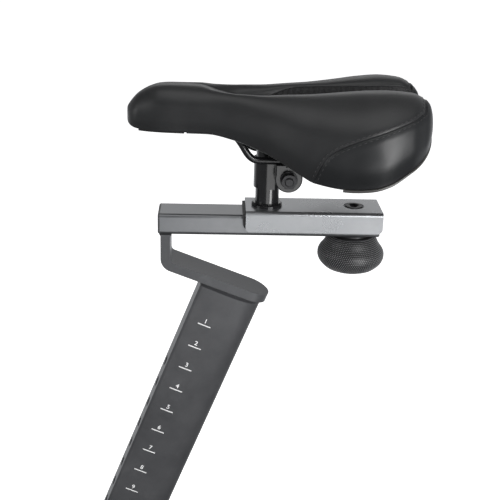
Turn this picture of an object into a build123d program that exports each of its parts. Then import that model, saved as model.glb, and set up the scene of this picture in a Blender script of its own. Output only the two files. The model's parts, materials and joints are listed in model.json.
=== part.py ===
"""Saddle, fore-and-aft slide and height post of an exercise bike, one solid per physical piece.

Axes: +Z up, +X towards the back of the bike, +Y to the rider's right. Millimetres.
The origin is the centre of the height post's lower end. The post leans back from it. A bent flat
bar carries the slide rail over the post, a sleeve slides on the rail, and the sleeve's stem takes
the saddle clip. The line through the post's axis meets the stem's axis at the sleeve's top face.
"""
import os
from math import cos, radians, sin

from build123d import *

# Height post: one flat front face, bulged sides, round back
POST_LEAN = 21.0
POST_LENGTH = 352.0
POST_FRONT = 29.5
POST_BACK = 32.5
POST_WIDEST = 8.0
POST_HALF_WIDTH = 17.0
POST_FACE_HALF_WIDTH = 14.6
POST_CORNER = 3.0
POST_WALL = 2.5
SCALE_PITCH = 25.4
FIRST_MARK_BELOW_TOP = 41.1
INDEX_HOLE_RADIUS = 5.0
INDEX_HOLES = 9
FIRST_HOLE_MARK = 3
HOLE_BELOW_MARK = 6.4

# Neck: bent flat bar between post and rail
NECK_THICKNESS = 9.0
NECK_WIDTH = 36.0
NECK_INNER_BEND = 4.5
NECK_TO_SLIDE = 81.4
NECK_END_CENTRE = 18.5
LEG_FRONT = -99.0

# Slide rail, its caps and its slot. X and Z from here on are measured from the stem's foot.
RAIL_WIDTH = 36.0
RAIL_HEIGHT = 20.0
RAIL_CORNER = 3.5
RAIL_WALL = 2.0
RAIL_FRONT = -99.5
RAIL_BACK = 104.5
RAIL_TOP = -5.5
CAP_FLANGE = 2.0
CAP_PLUG = 10.0
CAP_GRIP = 0.05

# Sleeve and its nylon liner
SLEEVE_WIDTH = 47.5
SLEEVE_WALL = 3.0
SLEEVE_DEPTH = 19.5
SLEEVE_CORNER = 3.5
SLEEVE_FRONT = -20.1
SLEEVE_BACK = 107.3
SLEEVE_END_ROUND = 4.0
LINER_GAP = 0.1
LINER_OVERHANG = 2.5

# Slide clamp: carriage bolt, washer and knob
CLAMP_X = 82.3
SLIDE_FORWARD = 75.0
SLIDE_BACKWARD = 10.0
BOLT_RADIUS = 5.0
BOLT_NECK = 9.8
BOLT_HEAD_RADIUS = 8.2
BOLT_HEAD_RISE = 0.6
BOLT_DISH_RADIUS = 5.6
BOLT_RECESS = 1.2
HEX_KEY = 6.0
HEX_DEPTH = 4.5
BOLT_END = -52.0
WASHER_RADIUS = 17.0
WASHER_THICKNESS = 2.0
KNOB_NECK_RADIUS = 19.0
KNOB_RADIUS = 31.5
KNOB_HEIGHT = 34.0
KNOB_BELLY = 19.5
KNOB_FOOT_RADIUS = 17.0
KNOB_SHOULDER = (26.6, -9.5)
KNOB_UNDERSIDE = (27.2, -29.2)
INSERT_RADIUS = 8.0
INSERT_DEPTH = 25.0

# Stem
STEM_RADIUS = 11.1
STEM_WALL = 2.0
STEM_TOP = 57.0
COLLAR_RADIUS = 14.4
COLLAR_HEIGHT = 3.5

# Saddle clip: a strap round the stem, ears, serrated discs, cheeks and a cross stud
CLIP_BOTTOM = 18.5
CLIP_TOP = 46.5
CLIP_WALL = 2.0
STUD_X = 17.5
STUD_Z = 33.0
STUD_RADIUS = 4.0
STUD_END = 38.0
DISC_RADIUS = 13.0
DISC_OUTER = 17.0
TOOTH_COUNT = 32
TOOTH_DEPTH = 0.8
CHEEK_SPLIT = 22.0
CHEEK_OUTER = 28.0
CHEEK_TOP = 46.7
CRADLE_TOP = 52.0
CRADLE_HALF_LENGTH = 12.0
RAIL_FIT = 0.06
NUT_FLATS = 13.0
NUT_THICKNESS = 6.5
M8_WASHER_RADIUS = 8.0
M8_WASHER_THICKNESS = 1.6

# Saddle rails: the straight run lies in the cheeks, both ends rise into the base
WIRE_RADIUS = 3.5
WIRE_Y = 22.0
WIRE_Z = 48.7
WIRE_FRONT_BEND = -8.0
WIRE_BACK_BEND = 46.0
WIRE_NOSE = (-84.0, 8.0, 79.5)
WIRE_NOSE_BEND = (-46.0, 12.0, 79.0)
WIRE_SLOPE = (-24.0, 20.5, 60.5)
WIRE_TAIL_BEND = (84.0, 36.0, 68.0)
WIRE_TAIL = (104.0, 40.0, 70.0)

# Saddle: distance along, half width, crest height, lower edge height, depth of the relief channel
SADDLE_STATIONS = (
    (-126.5, 11.0, 97.0, 79.5, 0.0),
    (-118.0, 19.0, 105.0, 76.5, 0.0),
    (-100.0, 25.0, 110.5, 75.5, 0.0),
    (-74.0, 28.0, 111.0, 75.7, 0.5),
    (-44.0, 33.0, 110.0, 73.5, 5.0),
    (-10.0, 47.0, 108.5, 64.0, 10.0),
    (25.0, 67.0, 109.5, 48.0, 12.0),
    (60.0, 83.0, 113.0, 40.5, 13.0),
    (90.0, 90.0, 117.0, 42.0, 14.0),
    (116.0, 81.0, 117.0, 54.0, 14.0),
    (133.0, 58.0, 110.0, 68.0, 12.0),
    (139.5, 38.0, 101.0, 80.0, 8.0),
)
COVER_THICKNESS = 1.8
FOAM_SIDE = 11.0
FOAM_TOP = 20.0
BASE_THICKNESS = 4.0
LAYER_GAP = 0.4
NOSE_BOSS = (-94.0, -64.0, 12.5, 75.5)
TAIL_BOSS = (88.0, 112.0, 31.0, 49.0, 60.0)
NOSE_PLATE = (-122.0, -77.0, 73.1, 75.0)
PANEL_SEAM = ((128.0, 109.0), (94.0, 94.0), (58.0, 77.0), (46.0, 66.0), (33.0, 38.0))

post_frame = Rot(0, POST_LEAN, 0)
axis_length = POST_LENGTH + NECK_THICKNESS + NECK_TO_SLIDE
slide_frame = Pos(axis_length * sin(radians(POST_LEAN)), 0, axis_length * cos(radians(POST_LEAN)))
rail_bottom = RAIL_TOP - RAIL_HEIGHT
knob_top = rail_bottom - WASHER_THICKNESS


def block(x0, x1, y0, y1, z0, z1):
    """Box between two corners."""
    centre = Pos((x0 + x1) / 2, (y0 + y1) / 2, (z0 + z1) / 2)
    return centre * Box(abs(x1 - x0), abs(y1 - y0), abs(z1 - z0))


def bar_x(section, x0, x1):
    """Extrude a sketch drawn as (y, z) from x0 to x1."""
    return Pos(x0, 0, 0) * extrude(Plane.YZ * section, amount=x1 - x0)


def rod_y(radius, y0, y1, x=STUD_X, z=STUD_Z):
    """Round bar across the bike, on the cross stud unless told otherwise."""
    return Pos(x, (y0 + y1) / 2, z) * Rot(90, 0, 0) * Cylinder(radius, y1 - y0)


def post_section(inset=0.0):
    """The post's outline in its own frame, front face towards -x: bulged sides, elliptical back."""
    front, widest = inset - POST_FRONT, POST_WIDEST
    face, half = POST_FACE_HALF_WIDTH - inset, POST_HALF_WIDTH - inset
    run, bulge = widest - front, half - face
    side_radius = (run ** 2 + bulge ** 2) / (2 * bulge)
    middle = (front + widest) / 2
    middle_y = half - side_radius + (side_radius ** 2 - (widest - middle) ** 2) ** 0.5
    with BuildSketch() as sketch:
        with BuildLine():
            Line((front, -face), (front, face))
            ThreePointArc((front, face), (middle, middle_y), (widest, half))
            EllipticalCenterArc((widest, 0), POST_BACK - inset - widest, half, -90, arc_size=180)
            ThreePointArc((front, -face), (middle, -middle_y), (widest, -half))
        make_face()
        fillet(sketch.vertices().sort_by(Axis.X)[:2], POST_CORNER - min(inset, 2.0))
    return sketch.sketch


def seat_post():
    """Hollow post with one index hole a scale pitch through its front wall."""
    body = extrude(post_section() - post_section(POST_WALL), amount=POST_LENGTH)
    first = POST_LENGTH - FIRST_MARK_BELOW_TOP - HOLE_BELOW_MARK - (FIRST_HOLE_MARK - 1) * SCALE_PITCH
    for step in range(INDEX_HOLES):
        drill = Rot(0, 90, 0) * Cylinder(INDEX_HOLE_RADIUS, 4 * POST_WALL)
        body -= Pos(-POST_FRONT, 0, first - step * SCALE_PITCH) * drill
    return post_frame * body


def post_end_plug():
    """Plastic plug in the post's open lower end, flush with it."""
    lip, depth, wall = 2.0, 14.0, 2.0
    shell = extrude(post_section(POST_WALL + CAP_GRIP), amount=depth)
    shell -= Pos(0, 0, lip) * extrude(post_section(POST_WALL + CAP_GRIP + wall), amount=depth)
    return post_frame * shell


def corner_near(sketch, point):
    """Corner of a sketch that lies nearest to a point (x, y)."""
    return sketch.vertices().sort_by_distance((point[0], point[1], 0))[0]


def neck_bracket():
    """Flat bar: a leg under the rail's front, one bend, and an arm square to the post."""
    lean = radians(POST_LEAN)
    arm_top = -NECK_TO_SLIDE
    arm_bottom = arm_top - NECK_THICKNESS
    leg_back = LEG_FRONT + NECK_THICKNESS

    def on_arm(along, height):
        return along * cos(lean) + height * sin(lean), -along * sin(lean) + height * cos(lean)

    def height_at(x, height):
        return (height - x * sin(lean)) / cos(lean)

    inner = (leg_back, height_at(leg_back, arm_top))
    outer = (LEG_FRONT, height_at(LEG_FRONT, arm_bottom))
    outline = Polygon(
        (LEG_FRONT, rail_bottom),
        (leg_back, rail_bottom),
        inner,
        on_arm(NECK_END_CENTRE, arm_top),
        on_arm(NECK_END_CENTRE, arm_bottom),
        outer,
        align=None,
    )
    outline = fillet(corner_near(outline, inner), NECK_INNER_BEND)
    outline = fillet(corner_near(outline, outer), NECK_INNER_BEND + NECK_THICKNESS)
    bar = extrude(Plane.XZ * outline, amount=NECK_WIDTH / 2, both=True)
    end = Pos(NECK_END_CENTRE, 0, POST_LENGTH + NECK_THICKNESS / 2) * Cylinder(
        NECK_WIDTH / 2, NECK_THICKNESS)
    return slide_frame * bar + post_frame * end


def post_weld():
    """Bead in the corner between the post and the bar above it."""
    foot, bead, height = 0.2, 2.4, 4.0
    ring = loft([Pos(0, 0, POST_LENGTH - height) * post_section(-foot),
                 Pos(0, 0, POST_LENGTH) * post_section(-bead)])
    return post_frame * (ring - extrude(post_section(), amount=POST_LENGTH + height))


def rail_weld():
    """Bead in the corner between the rail and the leg below it."""
    bead = 3.2
    x = LEG_FRONT + NECK_THICKNESS / 2
    foot = Pos(x, 0, rail_bottom) * Rectangle(NECK_THICKNESS + bead, RAIL_WIDTH - 2 * RAIL_CORNER)
    ring = extrude(foot, amount=-bead, taper=25)
    return slide_frame * (ring - block(
        LEG_FRONT, LEG_FRONT + NECK_THICKNESS, -NECK_WIDTH, NECK_WIDTH, rail_bottom - 2 * bead, 0))


def rail_profile(inset=0.0):
    """Rounded rectangle of the rail at its own height, as (y, z)."""
    return Pos(0, RAIL_TOP - RAIL_HEIGHT / 2) * RectangleRounded(
        RAIL_WIDTH - 2 * inset, RAIL_HEIGHT - 2 * inset, RAIL_CORNER - min(inset, 2.4))


def slide_rail():
    """Rectangular tube with a long slot through its top and bottom walls for the clamp bolt."""
    tube = bar_x(rail_profile() - rail_profile(RAIL_WALL), RAIL_FRONT, RAIL_BACK)
    side = 0.5
    slot_length = SLIDE_FORWARD + SLIDE_BACKWARD + 2 * (BOLT_RADIUS + side)
    slot_centre = CLAMP_X + (SLIDE_BACKWARD - SLIDE_FORWARD) / 2
    slot = extrude(SlotOverall(slot_length, 2 * (BOLT_RADIUS + side)), amount=2 * RAIL_HEIGHT, both=True)
    return slide_frame * (tube - Pos(slot_centre, 0, 0) * slot)


def rail_cap(front):
    """Push-in end cap: a chamfered flange and a hollow plug."""
    flange = CAP_FLANGE if front else 1.5
    plug = CAP_PLUG if front else 4.5
    wall = 1.6
    cap = bar_x(rail_profile(), -flange, 0)
    cap = chamfer(cap.faces().sort_by(Axis.X)[0].edges(), flange * 0.6)
    cap += bar_x(rail_profile(RAIL_WALL + CAP_GRIP) - rail_profile(RAIL_WALL + CAP_GRIP + wall), 0, plug)
    if front:
        return slide_frame * Pos(RAIL_FRONT, 0, 0) * cap
    return slide_frame * Pos(RAIL_BACK, 0, 0) * mirror(cap, Plane.YZ)


def channel(width, wall, top, bottom, corner, x0, x1):
    """Inverted U section between two stations."""
    height = top - bottom
    outer = Pos(0, top - height) * RectangleRounded(width, 2 * height, corner)
    inner_corner = max(corner - wall, 0.4)
    inner = Pos(0, top - height - wall) * RectangleRounded(width - 2 * wall, 2 * height, inner_corner)
    below = Pos(0, bottom - height) * Rectangle(2 * width, 2 * height)
    return bar_x(outer - inner - below, x0, x1)


def round_lower_ends(shape, radius, x0, x1, bottom):
    """Round the lower front and back corners of both side walls."""
    for x, inward in ((x0, 1), (x1, -1)):
        corner = block(min(x, x + inward * radius), max(x, x + inward * radius),
                       -SLEEVE_WIDTH, SLEEVE_WIDTH, bottom, bottom + radius)
        corner -= rod_y(radius, -SLEEVE_WIDTH, SLEEVE_WIDTH, x + inward * radius, bottom + radius)
        shape -= corner
    return shape


def slide_sleeve():
    """Steel channel over the rail, with the clamp bolt's countersunk square hole."""
    body = channel(SLEEVE_WIDTH, SLEEVE_WALL, 0, -SLEEVE_DEPTH, SLEEVE_CORNER, SLEEVE_FRONT, SLEEVE_BACK)
    body = round_lower_ends(body, SLEEVE_END_ROUND, SLEEVE_FRONT, SLEEVE_BACK, -SLEEVE_DEPTH)
    square = BOLT_NECK + 2 * LINER_GAP
    recess = Cone(BOLT_HEAD_RADIUS + 0.2, BOLT_HEAD_RADIUS + 1.6, BOLT_RECESS)
    body -= Pos(CLAMP_X, 0, -BOLT_RECESS / 2) * recess
    body -= Pos(CLAMP_X, 0, -SLEEVE_WALL) * Box(square, square, 3 * SLEEVE_WALL)
    return slide_frame * body


def slide_liner():
    """Nylon channel between sleeve and rail, a little longer than the sleeve in front."""
    width = SLEEVE_WIDTH - 2 * SLEEVE_WALL - 2 * LINER_GAP
    top = -SLEEVE_WALL - LINER_GAP
    wall = (width - RAIL_WIDTH) / 2 - LINER_GAP
    front, back, bottom = SLEEVE_FRONT - LINER_OVERHANG, SLEEVE_BACK - 1, -SLEEVE_DEPTH + 0.5
    body = channel(width, wall, top, bottom, 0.6, front, back)
    roof = block(front, back, -width / 2 + wall, width / 2 - wall, RAIL_TOP + LINER_GAP, top - 1)
    body = (body + roof) - block(front - 1, back + 1, -RAIL_WIDTH / 2 - LINER_GAP,
                                 RAIL_WIDTH / 2 + LINER_GAP, bottom - 1, RAIL_TOP + LINER_GAP)
    body = round_lower_ends(body, SLEEVE_END_ROUND + 3, front, back, bottom)
    return slide_frame * (body - Pos(CLAMP_X, 0, 0) * Cylinder(BOLT_NECK * 0.75, SLEEVE_WIDTH))


def clamp_bolt():
    """Socket head bolt: low round-edged head with a dish and a hexagon socket, square neck, shank."""
    head = Pos(0, 0, (BOLT_HEAD_RISE - BOLT_RECESS) / 2) * Cylinder(
        BOLT_HEAD_RADIUS, BOLT_HEAD_RISE + BOLT_RECESS)
    head = fillet(head.edges().sort_by(Axis.Z)[-1], BOLT_HEAD_RISE * 0.9)
    neck = block(-BOLT_NECK / 2, BOLT_NECK / 2, -BOLT_NECK / 2, BOLT_NECK / 2,
                 -SLEEVE_WALL, -BOLT_RECESS)
    neck &= Cylinder(BOLT_NECK * 0.62, 20)
    shank = Pos(0, 0, (BOLT_END - BOLT_RECESS) / 2) * Cylinder(
        BOLT_RADIUS - 0.1, -BOLT_END - BOLT_RECESS)
    shank = chamfer(shank.edges().sort_by(Axis.Z)[0], 1.0)
    dish = Pos(0, 0, BOLT_HEAD_RISE - BOLT_RECESS / 2) * Cone(
        HEX_KEY / 2, BOLT_DISH_RADIUS, BOLT_RECESS)
    socket = extrude(RegularPolygon(HEX_KEY / 2, 6, major_radius=False), amount=-HEX_DEPTH)
    return slide_frame * Pos(CLAMP_X, 0, 0) * (head + neck + shank - dish - socket)


def knob_washer():
    """Plain steel washer between the rail and the knob."""
    ring = Cylinder(WASHER_RADIUS, WASHER_THICKNESS) - Cylinder(BOLT_RADIUS + 0.3, WASHER_THICKNESS)
    ring = chamfer(ring.edges().sort_by(SortBy.LENGTH)[-2:], 0.3)
    return slide_frame * Pos(CLAMP_X, 0, rail_bottom - WASHER_THICKNESS / 2) * ring


def clamp_knob():
    """Mushroom hand knob with a narrow neck, widest at its belly, blind socket for the insert."""
    with BuildSketch(Plane.XZ) as half:
        with BuildLine():
            Line((0, 0), (KNOB_NECK_RADIUS, 0))
            Spline((KNOB_NECK_RADIUS, 0), KNOB_SHOULDER, (KNOB_RADIUS, -KNOB_BELLY),
                   tangents=((1, -0.35), (0, -1)))
            Spline((KNOB_RADIUS, -KNOB_BELLY), KNOB_UNDERSIDE, (KNOB_FOOT_RADIUS, -KNOB_HEIGHT),
                   tangents=((0, -1), (-1, 0)))
            Line((KNOB_FOOT_RADIUS, -KNOB_HEIGHT), (0, -KNOB_HEIGHT))
            Line((0, -KNOB_HEIGHT), (0, 0))
        make_face()
    body = revolve(half.sketch, Axis.Z)
    body -= Pos(0, 0, -INSERT_DEPTH / 2) * Cylinder(INSERT_RADIUS, INSERT_DEPTH)
    body -= Pos(0, 0, -INSERT_DEPTH - 2) * Cylinder(BOLT_RADIUS + 0.5, 4)
    return slide_frame * Pos(CLAMP_X, 0, knob_top) * body


def knob_insert():
    """Threaded metal insert moulded into the knob."""
    body = Cylinder(INSERT_RADIUS, INSERT_DEPTH) - Cylinder(BOLT_RADIUS - 0.04, INSERT_DEPTH)
    return slide_frame * Pos(CLAMP_X, 0, knob_top - INSERT_DEPTH / 2) * body


def stem():
    """Round tube that the saddle clip grips."""
    tube = Cylinder(STEM_RADIUS, STEM_TOP) - Cylinder(STEM_RADIUS - STEM_WALL, STEM_TOP)
    return slide_frame * Pos(0, 0, STEM_TOP / 2) * tube


def stem_collar():
    """Welded collar round the stem's foot."""
    ring = Cylinder(COLLAR_RADIUS, COLLAR_HEIGHT)
    ring = chamfer(ring.edges().sort_by(Axis.Z)[-1], 1.4)
    ring -= Cylinder(STEM_RADIUS, 2 * COLLAR_HEIGHT)
    return slide_frame * Pos(0, 0, COLLAR_HEIGHT / 2) * ring


def stem_plug():
    """Plastic plug closing the stem's top."""
    head = Pos(0, 0, 1) * Cylinder(STEM_RADIUS, 2)
    head = fillet(head.edges().sort_by(Axis.Z)[-1], 1.2)
    plug = Pos(0, 0, -5) * Cylinder(STEM_RADIUS - STEM_WALL - CAP_GRIP, 10)
    return slide_frame * Pos(0, 0, STEM_TOP) * (head + plug)


def clip_strap():
    """Steel strap round the stem whose two ears run back to the cross stud."""
    outside, bore = STEM_RADIUS + CLIP_WALL, STEM_RADIUS + RAIL_FIT
    plan = Circle(outside) + Pos(16, 0) * Rectangle(32, 2 * outside)
    plan -= Circle(bore) + Pos(20, 0) * Rectangle(40, 2 * bore)
    strap = Pos(0, 0, CLIP_BOTTOM) * extrude(plan, amount=CLIP_TOP - CLIP_BOTTOM)
    side = block(-20, 6, -20, 20, CLIP_BOTTOM, CLIP_TOP) + rod_y(DISC_RADIUS, -20, 20)
    strap &= side
    return slide_frame * (strap - rod_y(STUD_RADIUS + 0.3, -20, 20))


def toothed_ring(inner, outer):
    """Disc across the bike between two distances, its outer face cut into radial teeth."""
    disc = Pos(0, 0, (inner + outer) / 2) * Cylinder(DISC_RADIUS, outer - inner)
    disc -= Pos(0, 0, outer) * Cylinder(STUD_RADIUS + 0.3, 4 * outer)
    groove = Pos(DISC_RADIUS - 1.8, 0, outer) * Box(4.0, 0.9, 2 * TOOTH_DEPTH)
    for step in range(TOOTH_COUNT):
        disc -= Rot(0, 0, step * 360 / TOOTH_COUNT) * groove
    return disc


def tooth_disc(side):
    """Serrated disc outside one ear."""
    disc = Rot(90, 0, 0) * toothed_ring(STEM_RADIUS + CLIP_WALL, DISC_OUTER)
    disc = mirror(disc, Plane.XZ) if side > 0 else disc
    return slide_frame * Pos(STUD_X, 0, STUD_Z) * disc


def cradle(side):
    """Inner cheek: a disc with a block on top, grooved for the saddle rail."""
    inner, outer = DISC_OUTER, CHEEK_SPLIT - 0.2
    body = rod_y(DISC_RADIUS, inner, outer)
    body += block(STUD_X - CRADLE_HALF_LENGTH, STUD_X + CRADLE_HALF_LENGTH, inner, outer,
                  STUD_Z, CRADLE_TOP)
    body -= rod_y(STUD_RADIUS + 0.3, 0, 40)
    body -= Pos(STUD_X, WIRE_Y, WIRE_Z) * Rot(0, 90, 0) * Cylinder(WIRE_RADIUS + RAIL_FIT, 60)
    return slide_frame * (body if side > 0 else mirror(body, Plane.XZ))


def cheek(side):
    """Outer cheek: a dished disc with a lip that holds the rail from below."""
    lip_back = STUD_X - 2
    body = rod_y(DISC_RADIUS - 0.5, CHEEK_SPLIT + 0.3, CHEEK_OUTER)
    body += block(STUD_X - CRADLE_HALF_LENGTH, lip_back, CHEEK_SPLIT + 0.3, CHEEK_OUTER,
                  STUD_Z, CHEEK_TOP)
    body = chamfer(body.faces().sort_by(Axis.Y)[-1].edges(), 1.0)
    body -= rod_y(STUD_RADIUS + 0.3, 0, 40)
    body -= Pos(STUD_X, WIRE_Y, WIRE_Z) * Rot(0, 90, 0) * Cylinder(WIRE_RADIUS + RAIL_FIT, 60)
    return slide_frame * (body if side > 0 else mirror(body, Plane.XZ))


def cross_stud():
    """Threaded stud through the ears and cheeks."""
    rod = rod_y(STUD_RADIUS, -STUD_END, STUD_END)
    return slide_frame * chamfer(rod.edges().filter_by(GeomType.CIRCLE), 0.7)


def cheek_washer(side):
    """Plain washer under one stud nut."""
    ring = rod_y(M8_WASHER_RADIUS, CHEEK_OUTER, CHEEK_OUTER + M8_WASHER_THICKNESS)
    ring -= rod_y(STUD_RADIUS + 0.2, 0, 2 * CHEEK_OUTER)
    return slide_frame * (ring if side > 0 else mirror(ring, Plane.XZ))


def stud_nut(side):
    """Hexagon nut, its outer corners chamfered."""
    inner = CHEEK_OUTER + M8_WASHER_THICKNESS
    hexagon = extrude(RegularPolygon(NUT_FLATS / 2, 6, major_radius=False), amount=NUT_THICKNESS)
    cone = Pos(0, 0, NUT_THICKNESS / 2) * Cone(NUT_FLATS / 2 + 4.2, NUT_FLATS / 2 + 0.2, NUT_THICKNESS)
    body = (hexagon & cone) - Cylinder(STUD_RADIUS + 0.03, 4 * NUT_THICKNESS)
    body = Pos(STUD_X, inner, STUD_Z) * Rot(-90, 0, 0) * body
    return slide_frame * (body if side > 0 else mirror(body, Plane.XZ))


def wire_path_solid(radius, side):
    """Round rod along one saddle rail: straight in the clip, up to the nose, out to the tail."""
    front, back = (WIRE_FRONT_BEND, WIRE_Y, WIRE_Z), (WIRE_BACK_BEND, WIRE_Y, WIRE_Z)
    nose = Line(WIRE_NOSE, WIRE_NOSE_BEND)
    rise = Spline(WIRE_NOSE_BEND, WIRE_SLOPE, front, tangents=((0.9, 0.3, -0.3), (1, 0, 0)))
    climb = Spline(back, WIRE_TAIL_BEND, tangents=((1, 0, 0), (1, 0.2, 0.1)))
    path = Wire([nose, rise, Line(front, back), climb,
                 Line(WIRE_TAIL_BEND, WIRE_TAIL)])
    rod = sweep(Plane(path @ 0, z_dir=path % 0) * Circle(radius), path=path)
    return rod if side > 0 else mirror(rod, Plane.XZ)


def saddle_section(station, side_inset, top_inset, extend):
    """Closed outline of the saddle at one station, drawn smaller for an inner layer."""
    x, half, top, edge, groove = station
    half = half - side_inset
    top = top - top_inset
    depth = top - edge
    low = edge - extend
    right = [
        (half * 0.95, low),
        (half, edge + depth * 0.30),
        (half * 0.93, edge + depth * 0.66),
        (half * 0.66, top - depth * 0.07),
        (half * 0.34, top - depth * 0.01),
        (0, top - groove),
    ]
    points = right + [(-y, z) for y, z in reversed(right[:-1])]
    with BuildSketch(Plane.YZ.offset(x)) as sketch:
        with BuildLine():
            upper = Spline(*points)
            Line(upper @ 1, upper @ 0)
        make_face()
    return sketch.sketch


def saddle_volume(side_inset=0.0, top_inset=0.0, extend=0.0, end_inset=0.0):
    """Solid inside one layer of the saddle."""
    first, last = SADDLE_STATIONS[0][0] + end_inset, SADDLE_STATIONS[-1][0] - end_inset
    inside = [s for s in SADDLE_STATIONS if first <= s[0] <= last and s[1] > side_inset + 5]
    return loft([saddle_section(s, side_inset, top_inset, extend) for s in inside])


def saddle_layers():
    """Outer volumes of cover, foam and base, largest first, and the hollow under the base."""
    gap = LAYER_GAP
    cover = saddle_volume()
    foam_hole = saddle_volume(COVER_THICKNESS, COVER_THICKNESS, 15, 1)
    foam = saddle_volume(COVER_THICKNESS + gap, COVER_THICKNESS + gap, -2.5, 1.2)
    base_hole = saddle_volume(FOAM_SIDE, FOAM_TOP, 15, 9)
    base = saddle_volume(FOAM_SIDE + gap, FOAM_TOP + gap, -1.0, 9.2)
    hollow = saddle_volume(FOAM_SIDE + BASE_THICKNESS, FOAM_TOP + BASE_THICKNESS, 15, 12)
    return cover - foam_hole, foam - base_hole, base - hollow + (base & wire_bosses())


def wire_bosses():
    """Blocks under the base that hold the ends of the two saddle rails."""
    x0, x1, half, low = NOSE_BOSS
    bosses = block(x0, x1, -half, half, low, SADDLE_STATIONS[3][2])
    x0, x1, inner, outer, low = TAIL_BOSS
    for side in (-1, 1):
        bosses += block(x0, x1, side * inner, side * outer, low, SADDLE_STATIONS[8][2])
    for side in (-1, 1):
        bosses -= wire_path_solid(WIRE_RADIUS + RAIL_FIT, side)
    return bosses


def nose_plate():
    """Thin plate closing the underside of the nose."""
    x0, x1, low, high = NOSE_PLATE
    slab = block(x0, x1, -50, 50, low, high)
    return slide_frame * (slab & saddle_volume(1.5, 1.5, 6.0, 0.5))


def panel_cutter():
    """Everything below the rear panels' seam, across the whole saddle."""
    low, back = -40, 200
    with BuildSketch(Plane.XZ) as sketch:
        with BuildLine():
            seam = Spline(*PANEL_SEAM)
            Polyline(seam @ 1, (PANEL_SEAM[-1][0], low), (back, low), (back, PANEL_SEAM[0][1]), seam @ 0)
        make_face()
    return extrude(sketch.sketch, amount=150, both=True)


nodes = {
    "seat_post": seat_post(),
    "post_end_plug": post_end_plug(),
    "neck_bracket": neck_bracket(),
    "post_weld": post_weld(),
    "rail_weld": rail_weld(),
    "slide_rail": slide_rail(),
    "rail_cap_front": rail_cap(True),
    "rail_cap_back": rail_cap(False),
    "slide_sleeve": slide_sleeve(),
    "slide_liner": slide_liner(),
    "clamp_bolt": clamp_bolt(),
    "knob_washer": knob_washer(),
    "clamp_knob": clamp_knob(),
    "knob_insert": knob_insert(),
    "stem": stem(),
    "stem_collar": stem_collar(),
    "stem_plug": stem_plug(),
    "clip_strap": clip_strap(),
    "cross_stud": cross_stud(),
}
for name, side in (("left", -1), ("right", 1)):
    nodes[f"tooth_disc_{name}"] = tooth_disc(side)
    nodes[f"cradle_{name}"] = cradle(side)
    nodes[f"cheek_{name}"] = cheek(side)
    nodes[f"cheek_washer_{name}"] = cheek_washer(side)
    nodes[f"stud_nut_{name}"] = stud_nut(side)
    nodes[f"saddle_rail_{name}"] = slide_frame * wire_path_solid(WIRE_RADIUS, side)
cover, foam, base = saddle_layers()
panels = cover & panel_cutter()
nodes["saddle_cover"] = slide_frame * (cover - panels)
for name, side in (("left", -1), ("right", 1)):
    nodes[f"cover_panel_{name}"] = slide_frame * (panels & block(-200, 200, 0, 200 * side, -50, 200))
nodes["saddle_foam"] = slide_frame * foam
nodes["saddle_base"] = slide_frame * base
nodes["nose_plate"] = nose_plate()

os.makedirs("parts", exist_ok=True)
for name, shape in nodes.items():
    export_step(shape, f"parts/{name}.step")
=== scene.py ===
# %% [markdown]
# # Saddle, slide and height post of an exercise bike
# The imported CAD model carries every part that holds, slides or turns. This script dresses it: the
# camera and the light first, then the paints, steels and plastics, then the stitched saddle, and
# last the small things that repeat, such as stitches, staples and the raised dots on the knob.

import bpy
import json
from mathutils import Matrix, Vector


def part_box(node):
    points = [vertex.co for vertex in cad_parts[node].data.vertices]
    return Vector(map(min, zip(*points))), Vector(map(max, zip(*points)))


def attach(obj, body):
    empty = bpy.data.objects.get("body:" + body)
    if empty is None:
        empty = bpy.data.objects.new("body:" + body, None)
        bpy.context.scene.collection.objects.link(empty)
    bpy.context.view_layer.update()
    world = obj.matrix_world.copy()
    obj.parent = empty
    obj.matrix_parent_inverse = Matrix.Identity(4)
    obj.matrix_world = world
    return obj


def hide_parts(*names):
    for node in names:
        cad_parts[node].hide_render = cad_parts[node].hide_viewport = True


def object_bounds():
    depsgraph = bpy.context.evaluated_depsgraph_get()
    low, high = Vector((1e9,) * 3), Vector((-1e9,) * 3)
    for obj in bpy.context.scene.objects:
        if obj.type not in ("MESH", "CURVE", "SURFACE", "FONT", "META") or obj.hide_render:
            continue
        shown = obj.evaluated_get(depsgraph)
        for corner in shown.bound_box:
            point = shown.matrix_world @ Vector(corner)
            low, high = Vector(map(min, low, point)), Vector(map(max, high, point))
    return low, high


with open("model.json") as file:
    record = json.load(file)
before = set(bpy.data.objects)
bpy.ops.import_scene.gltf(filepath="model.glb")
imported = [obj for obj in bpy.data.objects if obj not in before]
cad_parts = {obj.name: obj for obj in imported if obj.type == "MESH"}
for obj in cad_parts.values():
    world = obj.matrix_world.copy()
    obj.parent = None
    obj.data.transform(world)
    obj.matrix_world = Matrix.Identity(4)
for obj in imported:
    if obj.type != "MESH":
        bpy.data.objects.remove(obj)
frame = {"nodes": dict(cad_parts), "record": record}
cad_low, cad_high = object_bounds()

# %% [markdown]
# ## One place to measure from
# A workshop drawing of a saddle clip starts at the stem, so every size here is in millimetres from
# the stem's foot: x towards the back of the bike, y to the rider's right, z up. Reading the foot
# from the CAD model instead of typing its place keeps the dressing on the part if the part moves.

# %% Millimetres from the stem's foot
import json
import math

import bmesh
import bpy
import numpy as np
from mathutils import Matrix, Vector, noise
from mathutils.bvhtree import BVHTree
from mathutils.kdtree import KDTree

MM = 0.001
stem_low, stem_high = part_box("stem")
stem_foot = Vector(((stem_low.x + stem_high.x) / 2, 0, stem_low.z))


def from_stem(x, y, z):
    """Point given in millimetres from the stem's foot."""
    return stem_foot + Vector((x, y, z)) * MM


print("stem foot at", [round(v, 4) for v in stem_foot])

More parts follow.
